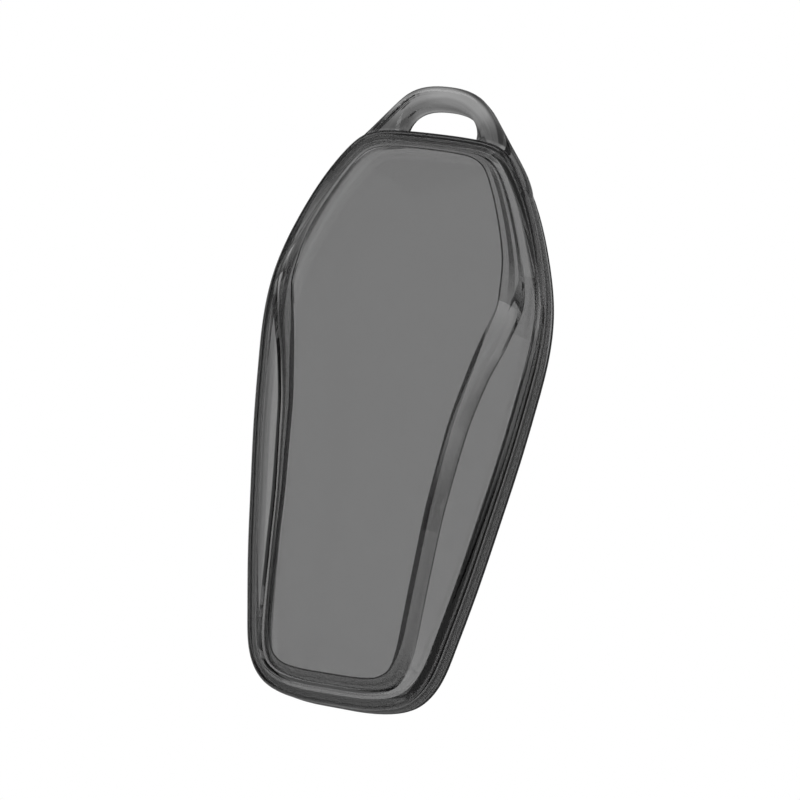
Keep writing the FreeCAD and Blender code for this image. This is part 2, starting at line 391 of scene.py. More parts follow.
class RingSkin:
    """A skin drawn ring by ring: each ring is an extrusion of the one before."""

    def __init__(self, name: str, ring: Sequence[SkinPoint]) -> None:
        """Starts from a circle that is set on the first ring.

        Args:
            name: name of the piece.
            ring: points of the first ring, in millimetres.
        """
        bpy.ops.object.select_all(action="DESELECT")
        bpy.ops.mesh.primitive_circle_add(vertices=len(ring), radius=HALF_W * MM, fill_type="NOTHING")
        self.piece = bpy.context.object
        self.piece.name = name
        self.piece.data.name = name
        bpy.ops.object.mode_set(mode="EDIT")
        bpy.ops.mesh.select_all(action="SELECT")
        mesh = bmesh.from_edit_mesh(self.piece.data)
        for mark in Mark:
            mesh.verts.layers.float.new(mark.value)
        self._set(mesh, ring)

    @staticmethod
    def _set(mesh: bmesh.types.BMesh, ring: Sequence[SkinPoint]) -> None:
        """Puts the newest points of a mesh on a ring.

        Args:
            mesh: the mesh in edit mode.
            ring: the points, in millimetres, with their marks.
        """
        mesh.verts.ensure_lookup_table()
        layers = {mark: mesh.verts.layers.float[mark.value] for mark in Mark}
        first = len(mesh.verts) - len(ring)
        for i, at in enumerate(ring):
            vert = mesh.verts[first + i]
            vert.co = at.point * MM
            for mark, value in at.marks.items():
                vert[layers[mark]] = value

    def grow(self, ring: Sequence[SkinPoint]) -> None:
        """Extrudes the open ring and sets it on new points.

        Args:
            ring: points of the new ring, in millimetres.
        """
        bpy.ops.mesh.extrude_edges_indiv()
        self._set(bmesh.from_edit_mesh(self.piece.data), ring)

    def close(self, weld: float) -> bpy.types.Object:
        """Welds what meets and turns the faces outwards.

        Args:
            weld: distance under which points are one, in millimetres.

        Returns:
            The finished piece.
        """
        bmesh.update_edit_mesh(self.piece.data)
        bpy.ops.mesh.select_all(action="SELECT")
        bpy.ops.mesh.remove_doubles(threshold=weld * MM)
        bpy.ops.mesh.normals_make_consistent(inside=False)
        bpy.ops.object.mode_set(mode="OBJECT")
        bpy.ops.object.shade_smooth()
        bpy.ops.object.modifier_add(type="WEIGHTED_NORMAL")
        bpy.ops.object.modifier_apply(modifier=bpy.context.object.modifiers[-1].name)
        return self.piece


Socket = bpy.types.NodeSocket
Feed = Socket | float | tuple[float, ...]


class Board:
    """A node tree with short calls for laying it out."""

    def __init__(self, tree: bpy.types.NodeTree) -> None:
        """Takes the tree as it is."""
        self.tree = tree

    def put(self, kind: str, inputs: dict[str | int, Feed], **settings: object) -> bpy.types.Node:
        """Adds a node.

        Args:
            kind: the node's type.
            inputs: a value or a socket to link for each named input.
            settings: the node's own settings.

        Returns:
            The node.
        """
        node = self.tree.nodes.new(kind)
        for key, value in settings.items():
            setattr(node, key, value)
        for key, value in inputs.items():
            if isinstance(value, Socket):
                self.tree.links.new(value, node.inputs[key])
            else:
                node.inputs[key].default_value = value
        return node

    def sum(self, operation: str, *values: Feed) -> Socket:
        """Adds a sum of up to three values and gives its result."""
        return self.put("ShaderNodeMath", dict(enumerate(values)), operation=operation).outputs[0]

    def times(self, first: Feed, *others: Feed) -> Socket:
        """Adds the product of two or more values.

        Args:
            first: the first value.
            others: what it is multiplied by.

        Returns:
            The product.
        """
        for other in others:
            first = self.sum("MULTIPLY", first, other)
        return first

    def ramp(self, value: Feed, start: Feed, end: Feed) -> Socket:
        """Adds a smooth rise from nought at start to one at end and gives its result."""
        inputs = {"Value": value, "From Min": start, "From Max": end}
        return self.put("ShaderNodeMapRange", inputs, interpolation_type="SMOOTHSTEP").outputs["Result"]

    def noise(self, place: Socket, scale: float, detail: float) -> Socket:
        """Adds a noise pattern and gives its value."""
        inputs = {"Vector": place, "Scale": scale, "Detail": detail}
        return self.put("ShaderNodeTexNoise", inputs).outputs[0]

    def group(self, made: bpy.types.NodeTree, inputs: dict[str | int, Feed]) -> bpy.types.Node:
        """Adds a shared effect."""
        return self.put("ShaderNodeGroup", inputs, node_tree=made)

    def glow(self, strength: Feed) -> None:
        """Ends a material's nodes in plain light."""
        light = self.put("ShaderNodeEmission", {"Strength": strength})
        self.put("ShaderNodeOutputMaterial", {"Surface": light.outputs["Emission"]})


def new_material(name: str) -> tuple[bpy.types.Material, Board]:
    """Starts a material that has no nodes yet.

    Args:
        name: name of the material.

    Returns:
        The material and its board.
    """
    made = bpy.data.materials.new(name)
    made.use_nodes = True
    made.node_tree.nodes.clear()
    return made, Board(made.node_tree)


def new_group(name: str, inputs: Sequence[str],
              outputs: Sequence[str]) -> tuple[Board, dict[str, Socket], bpy.types.Node]:
    """Starts a shader node group whose sockets are all values.

    Args:
        name: name of the group.
        inputs: names of its inputs.
        outputs: names of its outputs.

    Returns:
        The group's board, its input sockets by name and its output node.
    """
    tree = bpy.data.node_groups.new(name, "ShaderNodeTree")
    for socket in inputs:
        tree.interface.new_socket(socket, in_out="INPUT", socket_type="NodeSocketFloat")
    for socket in outputs:
        tree.interface.new_socket(socket, in_out="OUTPUT", socket_type="NodeSocketFloat")
    board = Board(tree)
    source = board.put("NodeGroupInput", {})
    return board, {n: source.outputs[n] for n in inputs}, board.put("NodeGroupOutput", {})


class Effects:
    """Shared effects of the finishes, each built once."""

    STREAK_DETAIL = 2.0
    SMEAR_SCALE = 90.0
    SMEAR_DETAIL = 3.0
    SMEAR_FROM = 0.45
    SMEAR_TO = 0.75
    FLOW_SCALE = 260.0
    FLOW_DETAIL = 2.0

    def __init__(self) -> None:
        """Builds the groups."""
        self.soft_line = self._soft_line()
        self.streaks = self._streaks()
        self.moulded_skin = self._moulded_skin()

    @staticmethod
    def _soft_line() -> bpy.types.NodeTree:
        """Makes a line of a width, with soft sides, by distance from its middle.

        Returns:
            The group.
        """
        board, given, out = new_group("soft_line", ("Distance", "Half Width", "Softness"), ("Mask",))
        away = board.sum("ABSOLUTE", given["Distance"])
        end = board.sum("ADD", given["Half Width"], given["Softness"])
        fall = board.ramp(away, given["Half Width"], end)
        board.tree.links.new(board.sum("SUBTRACT", 1.0, fall), out.inputs["Mask"])
        return board.tree

    def _streaks(self) -> bpy.types.NodeTree:
        """Makes long streaks, as a share about one.

        Returns:
            The group.
        """
        board, given, out = new_group("streaks", ("Across", "Along", "Depth"), ("Share",))
        place = board.put("ShaderNodeCombineXYZ", {"X": given["Across"], "Y": given["Along"]})
        noise = board.noise(place.outputs["Vector"], 1.0, self.STREAK_DETAIL)
        swing = board.sum("MULTIPLY_ADD", noise, 2.0, -1.0)
        board.tree.links.new(board.sum("MULTIPLY_ADD", swing, given["Depth"], 1.0), out.inputs["Share"])
        return board.tree

    def _moulded_skin(self) -> bpy.types.NodeTree:
        """Makes the faint smears and flow of a polished moulding.

        Returns:
            The group.
        """
        board, given, out = new_group("moulded_skin", ("Gloss", "Smear"), ("Roughness", "Flow"))
        place = board.put("ShaderNodeTexCoord", {}).outputs["Object"]
        smear = board.noise(place, self.SMEAR_SCALE, self.SMEAR_DETAIL)
        flow = board.noise(place, self.FLOW_SCALE, self.FLOW_DETAIL)
        patch = board.ramp(smear, self.SMEAR_FROM, self.SMEAR_TO)
        rough = board.sum("MULTIPLY_ADD", patch, given["Smear"], given["Gloss"])
        board.tree.links.new(rough, out.inputs["Roughness"])
        board.tree.links.new(flow, out.inputs["Flow"])
        return board.tree


@dataclass(frozen=True)
class SmokePlastic:
    """Glossy clear soft plastic, tinted at its skin and through its thickness."""

    ior: float = 1.5
    clarity: float = 0.5
    density: float = 165.0
    gloss: float = 0.015
    smear: float = 0.02
    flow: float = 0.02
    flow_deep: float = 0.0002

    def start(self, name: str, effects: Effects) -> tuple[bpy.types.Material, Board, bpy.types.Node]:
        """Makes the material with all but its colour.

        Args:
            name: name of the material.
            effects: the shared effects.

        Returns:
            The material, its board and its shader.
        """
        made, board = new_material(name)
        skin = board.group(effects.moulded_skin, {"Gloss": self.gloss, "Smear": self.smear})
        bump = board.put("ShaderNodeBump", {
            "Height": skin.outputs["Flow"],
            "Strength": self.flow,
            "Distance": self.flow_deep,
        })
        shader = board.put("ShaderNodeBsdfPrincipled", {
            "Transmission Weight": 1.0,
            "IOR": self.ior,
            "Roughness": skin.outputs["Roughness"],
            "Normal": bump.outputs["Normal"],
        })
        tint = board.put("ShaderNodeVolumeAbsorption", {
            "Color": (0.0, 0.0, 0.0, 1.0),
            "Density": self.density,
        })
        board.put("ShaderNodeOutputMaterial", {
            "Surface": shader.outputs["BSDF"],
            "Volume": tint.outputs["Volume"],
        })
        return made, board, shader


@dataclass(frozen=True)
class Band:
    """A band of tint with soft sides: its middle, half width and softness."""

    at: float
    half: float
    soft: float

    def mask(self, board: Board, effects: Effects, place: Socket) -> Socket:
        """Adds the band by place across it and gives its mask."""
        return board.group(effects.soft_line, {
            "Distance": board.sum("SUBTRACT", place, self.at),
            "Half Width": self.half,
            "Softness": self.soft,
        }).outputs["Mask"]


@dataclass(frozen=True)
class Streaks:
    """Streaks in the tint: how close they lie across and along it, and how deep they are."""

    across: float
    along: float
    depth: float

    def share(self, board: Board, effects: Effects, across: Socket, along: Socket) -> Socket:
        """Adds the streaks and gives their share about one."""
        return board.group(effects.streaks, {
            "Across": board.times(across, self.across),
            "Along": board.times(along, self.along),
            "Depth": self.depth,
        }).outputs["Share"]


@dataclass(frozen=True)
class PaintedFin:
    """A fin of painted shade across the bead at the shoulder: along the side in millimetres, across in
    bead widths.

    Its foot has a notch, from which it runs down by inner_fall and outer_fall for one width of the bead.
    Its inner side starts at inner_at beside the notch and leans by lean for each millimetre. It thins to
    least over fade.
    """

    notch_along: float = 72.0
    notch_at: float = 0.6
    inner_fall: float = 15.0
    outer_fall: float = 4.8
    inner_at: float = 0.44
    lean: float = 0.077
    soft: float = 0.15
    side_soft: float = 0.06
    fade: float = 4.5
    least: float = 0.7
    tint: float = 1.0

    def mask(self, board: Board, across: Socket, along: Socket) -> Socket:
        """Painted shade of the fin.

        Args:
            board: the material's nodes.
            across: place on the skin across the bead, nought at the panel and one at the bead's foot.
            along: place along the side, in millimetres.

        Returns:
            The painted shade, up to one.
        """
        off = board.sum("SUBTRACT", across, self.notch_at)
        inner = board.times(board.sum("MINIMUM", off, 0.0), -self.inner_fall)
        outer = board.times(board.sum("MAXIMUM", off, 0.0), self.outer_fall)
        past = board.sum("SUBTRACT", along, self.notch_along)
        above = board.sum("ADD", past, board.sum("ADD", inner, outer))
        start = board.ramp(above, 0.0, self.soft)
        side_at = board.sum("MULTIPLY_ADD", board.sum("MAXIMUM", past, 0.0), self.lean, self.inner_at)
        side = board.ramp(board.sum("SUBTRACT", across, side_at), 0.0, self.side_soft)
        within = board.ramp(across, 1.0 + self.side_soft, 1.0)
        thin = board.times(board.ramp(above, 0.0, self.fade), 1.0 - self.least)
        return board.times(start, side, within, board.sum("SUBTRACT", 1.0, thin), self.tint)


@dataclass(frozen=True)
class FaceFinish:
    """Finish of the face: painted shade gathers in the bead, its folds and the crease at its foot.

    crease is in millimetres and edge in widths of the dark line beside the panel. folds, flank and rim are
    places across the skin: nought at the panel, one at the bead's foot and two at the rim.
    """

    plastic: SmokePlastic = SmokePlastic()
    bead_soft: float = 0.25
    edge: Band = Band(at=0.5, half=0.4, soft=0.15)
    edge_tint: float = 0.99
    crease: Band = Band(at=0.0, half=0.06, soft=0.14)
    folds: tuple[Band, ...] = (Band(at=0.45, half=0.11, soft=0.05), Band(at=0.85, half=0.08, soft=0.05))
    fold_tint: float = 0.95
    streaks: Streaks = Streaks(across=1.5, along=0.03, depth=0.35)
    rim_start: float = 2.0
    rim_full: float = 2.3
    flank: Band = Band(at=1.5, half=0.5, soft=0.1)
    fin: PaintedFin = PaintedFin()
    most: float = 0.985

    def material(self, effects: Effects) -> bpy.types.Material:
        """Makes the material.

        Args:
            effects: the shared effects.

        Returns:
            The material.
        """
        made, board, shader = self.plastic.start("smoke_face", effects)
        mark = {}
        for kind in Mark:
            mark[kind] = board.put("ShaderNodeAttribute", {}, attribute_name=kind.value).outputs["Fac"]
        from_edge, from_foot, across = mark[Mark.FROM_EDGE], mark[Mark.FROM_FOOT], mark[Mark.ACROSS]
        streak = self.streaks.share(board, effects, from_foot, mark[Mark.ALONG])
        past_edge = board.ramp(from_edge, 0.0, self.bead_soft)
        past_foot = board.ramp(from_foot, -self.crease.soft, 0.0)
        bead = board.times(past_edge, board.sum("SUBTRACT", 1.0, past_foot))
        past_flank = board.ramp(across, self.rim_start, self.rim_full)
        before_inside = board.sum("LESS_THAN", across, FAR)
        # Painted shade in the dark line beside the panel, the crease at the bead's foot, the fin at the
        # shoulder, the rim's round and the folds.
        painted_shades = [
            board.times(self.edge.mask(board, effects, from_edge), self.edge_tint),
            board.times(self.crease.mask(board, effects, from_foot), mark[Mark.CREASE]),
            self.fin.mask(board, across, mark[Mark.ALONG]),
            board.times(past_flank, before_inside, mark[Mark.RIM]),
        ]
        for fold in self.folds:
            painted_shades.append(board.times(fold.mask(board, effects, across), mark[Mark.FOLD], self.fold_tint))
        # Painted shade over the whole bead, broken by streaks.
        dark = board.times(bead, mark[Mark.BEAD], streak)
        for tint in painted_shades:
            dark = board.sum("MAXIMUM", dark, tint)
        left = board.sum("SUBTRACT", 1.0, board.sum("MINIMUM", dark, self.most))
        # Painted light: the flank is made clearer than the rest of the plastic.
        share = board.sum("MULTIPLY_ADD", self.flank.mask(board, effects, across), mark[Mark.FLANK], left)
        board.tree.links.new(board.times(share, self.plastic.clarity), shader.inputs["Base Color"])
        return made


@dataclass(frozen=True)
class BackFinish:
    """Finish of the back: painted shade darkens the outside of its wall, and a painted highlight lightens
    the loop's crown.

    Sizes are in millimetres, but crown, eye and edge are shares of the loop's oval.
    """

    plastic: SmokePlastic = SmokePlastic()
    least: float = 0.03
    # Painted shade on the outside of the wall, with darker painted lines.
    wall_tint: float = 0.85
    wall_low: float = 1.6
    wall_rise: float = 1.7
    rise_from: float = 0.0
    rise_to: float = 12.0
    wall_high: float = 7.3
    wall_soft: float = 0.8
    wall_deep: float = 0.4
    wall_skin: float = 0.3
    lines: tuple[Band, ...] = (Band(at=4.0, half=0.3, soft=0.5), Band(at=6.4, half=0.3, soft=0.5))
    line_tint: float = 0.95
    # Painted light inside the wall and on the outside of its foot.
    lift: float = 0.66
    lift_from: float = 1.3
    lift_to: float = 2.4
    lift_low: float = 0.2
    lift_full: float = 2.4
    lift_high: float = 7.2
    foot_lift: float = 0.3
    foot_low: float = 0.3
    foot_full: float = 1.8
    # Painted highlight on the loop's crown; painted shade on its eye, strands and upper edge.
    crown_y: float = 36.0
    crown_half_x: float = 10.05
    crown_half_y: float = 10.3
    crown: Band = Band(at=0.89, half=0.05, soft=0.06)
    crown_low: float = 39.5
    crown_high: float = 43.5
    crown_lift: float = 0.78
    eye: Band = Band(at=0.69, half=0.02, soft=0.02)
    eye_tint: float = 0.35
    streaks: Streaks = Streaks(across=16.0, along=0.12, depth=0.5)
    strand_tint: float = 0.35
    edge_from: float = 0.93
    edge_to: float = 0.975
    edge_low: float = 6.2
    edge_high: float = 6.9
    edge_tint: float = 0.85
    loop_tint: float = 0.15

    def material(self, effects: Effects) -> bpy.types.Material:
        """Makes the material.

        Args:
            effects: the shared effects.

        Returns:
            The material.
        """
        made, board, shader = self.plastic.start("smoke_back", effects)
        place = board.put("ShaderNodeTexCoord", {}).outputs["Object"]
        axes = board.put("ShaderNodeSeparateXYZ", {"Vector": place})
        x, y, z = (board.sum("DIVIDE", axes.outputs[axis], MM) for axis in "XYZ")
        inset = board.put("ShaderNodeAttribute", {}, attribute_name=FROM_SIDE).outputs["Fac"]
        skin = self.skin(board, inset)
        upper = board.ramp(y, self.rise_from, self.rise_to)
        low = board.sum("MULTIPLY_ADD", upper, self.wall_rise, self.wall_low)
        # Painted shade on the outside of the wall.
        dark = board.times(self.wall(board, effects, z, low), skin)
        # Painted light inside the wall, and on the outside of the wall's foot towards the top end.
        share = board.sum("ADD", board.sum("SUBTRACT", 1.0, dark), self.inner(board, inset, z))
        share = board.sum("ADD", share, board.times(self.foot(board, z, low), upper, skin))
        outside = board.ramp(inset, -self.wall_deep, -self.wall_deep - self.wall_skin)
        # The loop's painted highlight and painted shade, outside the wall.
        loop = board.times(outside, self.loop(board, effects, (x, y, z)))
        share = board.sum("MAXIMUM", board.sum("ADD", share, loop), self.least)
        board.tree.links.new(board.times(share, self.plastic.clarity), shader.inputs["Base Color"])
        return made

    def wall(self, board: Board, effects: Effects, z: Socket, low: Socket) -> Socket:
        """Painted shade of the wall by height, above low, with its darker painted lines.

        Args:
            board: the material's nodes.
            effects: the shared effects.
            z: height, in millimetres.
            low: height where the tint starts, in millimetres.

        Returns:
            The painted shade, up to one.
        """
        above = board.ramp(z, low, board.sum("ADD", low, self.wall_soft))
        below = board.ramp(z, self.wall_high, self.wall_high - self.wall_soft)
        depth = self.wall_tint
        for line in self.lines:
            depth = board.sum("MAXIMUM", depth, board.times(line.mask(board, effects, z), self.line_tint))
        return board.times(above, below, depth)

    def foot(self, board: Board, z: Socket, low: Socket) -> Socket:
        """Painted light on the outside of the wall's foot, below low.

        Args:
            board: the material's nodes.
            z: height, in millimetres.
            low: height where the wall's tint starts, in millimetres.

        Returns:
            The share to add to the clearness.
        """
        above = board.ramp(z, self.foot_low, self.foot_full)
        below = board.ramp(z, board.sum("ADD", low, self.wall_soft), low)
        return board.times(above, below, self.foot_lift)

    def skin(self, board: Board, inset: Socket) -> Socket:
        """Mask of the wall's outside.

        Args:
            board: the material's nodes.
            inset: distance inside the outline, in millimetres.

        Returns:
            The mask.
        """
        inside = board.ramp(inset, self.wall_deep + self.wall_skin, self.wall_deep)
        outside = board.ramp(inset, -self.wall_deep - self.wall_skin, -self.wall_deep)
        return board.times(inside, outside)

    def inner(self, board: Board, inset: Socket, z: Socket) -> Socket:
        """Painted light on the inside of the wall and in its corner.

        Args:
            board: the material's nodes.
            inset: distance inside the outline, in millimetres.
            z: height, in millimetres.

        Returns:
            The share to add to the clearness.
        """
        start = board.ramp(inset, self.lift_from, self.lift_from + self.wall_skin)
        end = board.ramp(inset, self.lift_to + self.wall_skin, self.lift_to)
        above = board.ramp(z, self.lift_low, self.lift_full)
        below = board.ramp(z, self.lift_high, self.lift_high - self.wall_soft)
        return board.times(start, end, above, below, self.lift)

    def loop(self, board: Board, effects: Effects, place: Sequence[Socket]) -> Socket:
        """Change of the loop's clearness: a painted highlight on the crown, painted shade on the edge, the
        eye and the strands, and streaks round it.

        Args:
            board: the material's nodes.
            effects: the shared effects.
            place: x, y and z, in millimetres.

        Returns:
            The change, to be added to the clearness.
        """
        x, y, z = place
        wide = board.sum("DIVIDE", x, self.crown_half_x)
        high = board.sum("DIVIDE", board.sum("SUBTRACT", y, self.crown_y), self.crown_half_y)
        out = board.sum("SQRT", board.sum("ADD", board.times(wide, wide), board.times(high, high)))
        crown = self.crown.mask(board, effects, out)
        eye = self.eye.mask(board, effects, out)
        streak = self.streaks.share(board, effects, out, x)
        top = board.ramp(y, self.crown_low, self.crown_high)
        # Painted highlight on the crown.
        light = board.times(crown, top, self.crown_lift)
        # Painted shade lower on the strands and on the upper outer edge.
        strand = board.times(board.sum("SUBTRACT", 1.0, top), self.strand_tint)
        edge_top = board.ramp(z, self.edge_low, self.edge_high)
        edge = board.times(board.ramp(out, self.edge_from, self.edge_to), edge_top, self.edge_tint)
        dark = board.sum("MULTIPLY_ADD", eye, self.eye_tint, board.sum("MAXIMUM", strand, edge))
        change = board.sum("SUBTRACT", light, board.sum("ADD", dark, self.loop_tint))
        return board.sum("ADD", change, board.sum("SUBTRACT", streak, 1.0))


@dataclass
class FrontShell:
    """The face of the cover: panel, bead round it, flanks, rim and tongue, in millimetres."""

    node: str = "front_shell"
    parting_z: float = 7.5
    rim_r: float = 1.3
    rim_ledge: float = 0.2
    seam_r: float = 0.25
    skirt_flat: float = 0.05
    end_low_h: float = 2.6
    end_high_h: float = 2.3
    crown_r: float = 227.0
    side_wall: float = 1.8
    face_wall: float = 1.2
    tongue_h: float = 2.0
    tongue_t: float = 0.8
    loop_reach: float = 7.75
    panel_sink: float = 0.1
    bead_bulge: float = 0.2
    bead_steps: int = 10
    crease_r: float = 0.2
    arc_steps: int = 4
    panel_rings: int = 10
    spine_gap: float = 11.0
    rim_span: float = 1.0
    weld: float = 0.001
    finish: FaceFinish = FaceFinish()

    def __post_init__(self) -> None:
        """Works out the places that follow from the sizes."""
        self.rim_z = self.parting_z + self.seam_r + self.skirt_flat + self.rim_r
        body_l = sum(s.step for s in HALF)
        self.low_y = -(body_l + self.loop_reach) / 2.0
        self.high_y = self.low_y + body_l
        low = Vector((0.0, self.low_y, self.rim_z + self.end_low_h))
        high = Vector((0.0, self.high_y, self.rim_z + self.end_high_h))
        chord = high - low
        depth = math.sqrt(self.crown_r ** 2 - (chord.length / 2.0) ** 2)
        self.crown_c = (low + high) / 2.0 + Vector((0.0, chord.z, -chord.y)).normalized() * depth

    def crown_z(self, y: float, sink: float = 0.0) -> float:
        """Height of the panel's crown at y, sunk square to itself."""
        return self.crown_c.z + math.sqrt((self.crown_r - sink) ** 2 - (y - self.crown_c.y) ** 2)

    def bead(self, edge: Vector, foot: Vector, outward: Vector) -> list[Corner]:
        """Convex face of the bead between the panel's edge and the bead's foot.

        Args:
            edge: the panel's edge.
            foot: the bead's foot.
            outward: unit vector in plan, from the panel to the side.

        Returns:
            The points of the face, without its two ends.
        """
        chord = (foot - edge).normalized()
        lift = UP * chord.dot(outward) - outward * chord.z
        points = []
        for k in range(1, self.bead_steps):
            t = k / self.bead_steps
            hump = 4.0 * t * (1.0 - t)
            points.append(Corner(edge.lerp(foot, t) + lift * (self.bead_bulge * hump)))
        return points

    def section(self, at: Station) -> list[SkinPoint]:
        """The wall's line at one station, from the panel's outside round to its inside.

        Args:
            at: the station.

        Returns:
            The points of the line.
        """
        rim_in = at.rim + self.rim_ledge
        under_rim_z = self.rim_z - self.face_wall
        fine = self.crease_r / 2.0
        tongue_z = self.parting_z - self.tongue_h
        foot_in = self.rim_r + self.rim_ledge + at.flank
        edge_in = foot_in + at.bevel

        def eased(inset: float, z: float) -> Vector:
            """Point inside the outline, along the direction that turns corners slowly."""
            return at.point + at.eased * inset + UP * z

        def square(inset: float, z: float) -> Vector:
            """Point inside the outline, square to it."""
            return at.point + at.inward * inset + UP * z

        edge_z = self.crown_z(eased(edge_in, 0.0).y)
        edge = eased(edge_in, edge_z)
        foot = eased(foot_in, edge_z - at.drop)
        rim = eased(rim_in, self.rim_z)
        panel = eased(edge_in + 2.0 * self.crease_r, 0.0)
        panel.z = self.crown_z(panel.y, self.panel_sink)
        sill = eased(edge_in, edge_z - self.panel_sink)
        slope = (edge - foot).normalized()
        rise = (foot - rim).normalized()
        under_bevel = at.eased * slope.z - UP * slope.dot(at.eased)
        under_flank = at.eased * rise.z - UP * rise.dot(at.eased)
        inner_edge = edge - UP * self.face_wall
        inner_foot = foot + mitre(under_bevel, under_flank) * (self.face_wall * slope.dot(at.eased))
        lean = rise.dot(at.eased) / rise.z
        inner_foot_in = (inner_foot - at.point).dot(at.eased)
        root_in = max(inner_foot_in - (inner_foot.z - under_rim_z) * lean, self.side_wall + fine)
        inner_rim_z = inner_foot.z - (inner_foot_in - root_in) / lean
        inner_root = eased(root_in, inner_rim_z)
        inner_panel = inner_edge + at.eased * (2.0 * self.crease_r)
        inner_panel.z = self.crown_z(inner_panel.y, self.face_wall)
        corners = [Corner(panel), Corner(sill, fine)]
        corners += self.bead(sill, foot, -at.eased)
        corners += [
            Corner(foot, self.crease_r),
            Corner(rim, self.crease_r),
            Corner(square(0.0, self.rim_z), at.rim),
            Corner(square(0.0, self.parting_z), self.seam_r),
            Corner(square(self.side_wall - self.tongue_t, self.parting_z), fine),
            Corner(square(self.side_wall - self.tongue_t, tongue_z), fine),
            Corner(square(self.side_wall, tongue_z), fine),
            Corner(square(self.side_wall, inner_rim_z), fine),
            Corner(inner_root, self.crease_r),
            Corner(inner_foot, self.crease_r),
        ]
        corners += reversed(self.bead(inner_edge, inner_foot, -at.eased))
        corners += [Corner(inner_edge, fine), Corner(inner_panel)]
        return self.marked(rounded(corners, self.arc_steps), at)

    def marked(self, line: Sequence[Vector], at: Station) -> list[SkinPoint]:
        """Gives a section's line its distances from the panel's edge and the bead's foot, and its shade.

        Args:
            line: the points of the line.
            at: the station.

        Returns:
            The points with their marks; those of the inside are far from the edge and the foot.
        """
        run = [0.0] + list(accumulate((q - p).length for p, q in zip(line, line[1:])))
        # Numbers of the points in the middle of each rounded corner, and of the last one of the outside.
        edge_at = 1 + self.arc_steps // 2
        foot_at = edge_at + self.arc_steps + self.bead_steps
        rim_at = foot_at + self.arc_steps + 1
        outside = rim_at + 2 * (self.arc_steps + 1)
        places = [run[edge_at], run[foot_at], run[rim_at], run[rim_at] + self.rim_span]
        painted_shades = {kind: getattr(at.shade, kind.value) for kind in SHADE_MARKS}
        points = []
        for i, point in enumerate(line):
            marks = painted_shades | dict.fromkeys(PLACE_MARKS, FAR) | {Mark.ALONG: at.along}
            if i <= outside:
                marks[Mark.FROM_EDGE] = (run[i] - run[edge_at]) / at.shade.line
                marks[Mark.FROM_FOOT] = run[i] - run[foot_at]
                marks[Mark.ACROSS] = float(np.interp(run[i], places, range(len(places))))
            points.append(SkinPoint(point, marks))
        return points

    def panel(self, border: Sequence[SkinPoint], sink: float, far: float) -> list[list[SkinPoint]]:
        """Rings from the panel's border to a line along its middle.

        Args:
            border: the ring round the panel.
            sink: how far the face lies under the crown.
            far: distance that the points take from the panel's edge.

        Returns:
            The rings, the border not included.
        """
        low = self.low_y + self.spine_gap
        high = self.high_y - self.spine_gap
        rings = []
        for k in range(1, self.panel_rings + 1):
            t = k / self.panel_rings
            ring = []
            for at in border:
                spine = Vector((0.0, min(max(at.point.y, low), high), 0.0))
                place = at.point.lerp(spine, t)
                place.z = self.crown_z(place.y, sink)
                ring.append(SkinPoint(place, at.marks | dict.fromkeys(PLACE_MARKS, far)))
            rings.append(ring)
        return rings

    def build(self, stations: Sequence[Station]) -> bpy.types.Object:
        """Models the shell as one closed skin.

        Args:
            stations: places round the outline.

        Returns:
            The piece.
        """
        sections = [self.section(at) for at in stations]
        rings = list(zip(*sections))
        outer = self.panel(rings[0], self.panel_sink, -FAR)
        inner = self.panel(rings[-1], self.face_wall, FAR)
        order = list(reversed(outer)) + rings + inner
        skin = RingSkin("front_moulding", order[0])
        for ring in order[1:]:
            skin.grow(ring)
        return skin.close(self.weld)

    def dress(self, piece: bpy.types.Object, effects: Effects) -> None:
        """Gives the piece its finish and body, and hides the node's solid.

        Args:
            piece: the modelled shell.
            effects: the shared effects.
        """
        piece.data.materials.clear()
        piece.data.materials.append(self.finish.material(effects))
        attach(piece, Body.FRONT.value)
        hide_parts(self.node)


@dataclass
class RearShell:
    """The back of the cover with its side wall and loop: its construction solid, finished."""

    node: str = "rear_shell"
    weld: float = 0.001
    finish: BackFinish = BackFinish()

    def build(self, solid: bpy.types.Object, stations: Sequence[Station]) -> bpy.types.Object:
        """Copies the solid, welds it and gives each point its distance inside the outline.

        Args:
            solid: the node's object.
            stations: places round the outline.

        Returns:
            The piece.
        """
        piece = bpy.data.objects.new("rear_moulding", solid.data.copy())
        bpy.context.scene.collection.objects.link(piece)
        bpy.ops.object.select_all(action="DESELECT")
        piece.select_set(True)
        bpy.context.view_layer.objects.active = piece
        bpy.ops.object.mode_set(mode="EDIT")
        bpy.ops.mesh.select_all(action="SELECT")
        bpy.ops.mesh.remove_doubles(threshold=self.weld * MM, use_sharp_edge_from_normals=True)
        bpy.ops.object.mode_set(mode="OBJECT")
        tree = KDTree(len(stations))
        for i, at in enumerate(stations):
            tree.insert(at.point, i)
        tree.balance()
        layer = piece.data.attributes.new(FROM_SIDE, "FLOAT", "POINT")
        for vert, value in zip(piece.data.vertices, layer.data):
            place = vert.co / MM
            place.z = 0.0
            at = stations[tree.find(place)[1]]
            value.value = (place - at.point).dot(at.inward)
        return piece

    def dress(self, piece: bpy.types.Object, effects: Effects) -> None:
        """Gives the piece its finish and body, and hides the node's solid.

        Args:
            piece: the modelled shell.
            effects: the shared effects.
        """
        piece.data.materials.clear()
        piece.data.materials.append(self.finish.material(effects))
        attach(piece, Body.REAR.value)
        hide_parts(self.node)


